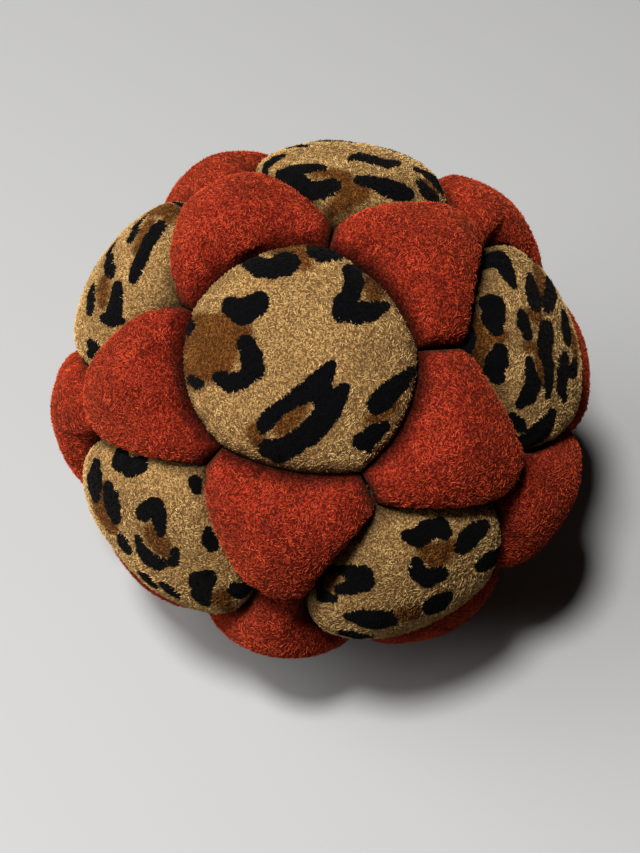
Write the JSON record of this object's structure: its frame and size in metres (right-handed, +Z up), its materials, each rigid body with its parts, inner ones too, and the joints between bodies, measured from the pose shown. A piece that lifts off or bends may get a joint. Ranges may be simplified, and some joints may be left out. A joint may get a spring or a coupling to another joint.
{
  "type": "footbag",
  "caption": "Small round footbag sewn from five-sided leopard-print and six-sided plain suede panels round a loose pellet fill, for kicking games.",
  "frame": {"origin": "on the resting surface, under the middle of the ball", "axes": "+Z up, +Y away from the front, where the middle leopard panel of the picture looks up towards -Y; X runs across the short seam the ball lies on"},
  "size_m": [0.0532, 0.0532, 0.0491],
  "materials": {
    "leopard_suede": "napped faux suede printed with brown and black leopard spots",
    "rust_suede": "napped faux suede, plain rust red",
    "thread": "twisted polyester thread",
    "pellets": "loose smooth pellets"
  },
  "bodies": {
    "root": {"leopard_panel_01": "leopard_suede", "leopard_panel_02": "leopard_suede", "leopard_panel_03": "leopard_suede", "leopard_panel_04": "leopard_suede", "leopard_panel_05": "leopard_suede", "leopard_panel_06": "leopard_suede", "leopard_panel_07": "leopard_suede", "leopard_panel_08": "leopard_suede", "leopard_panel_09": "leopard_suede", "leopard_panel_10": "leopard_suede", "leopard_panel_11": "leopard_suede", "leopard_panel_12": "leopard_suede", "rust_panel_01": "rust_suede", "rust_panel_02": "rust_suede", "rust_panel_03": "rust_suede", "rust_panel_04": "rust_suede", "rust_panel_05": "rust_suede", "rust_panel_06": "rust_suede", "rust_panel_07": "rust_suede", "rust_panel_08": "rust_suede", "rust_panel_09": "rust_suede", "rust_panel_10": "rust_suede", "rust_panel_11": "rust_suede", "rust_panel_12": "rust_suede", "rust_panel_13": "rust_suede", "rust_panel_14": "rust_suede", "rust_panel_15": "rust_suede", "rust_panel_16": "rust_suede", "rust_panel_17": "rust_suede", "rust_panel_18": "rust_suede", "rust_panel_19": "rust_suede", "rust_panel_20": "rust_suede", "seam_thread": "thread", "pellet_fill": "pellets"}
  },
  "joints": []
}
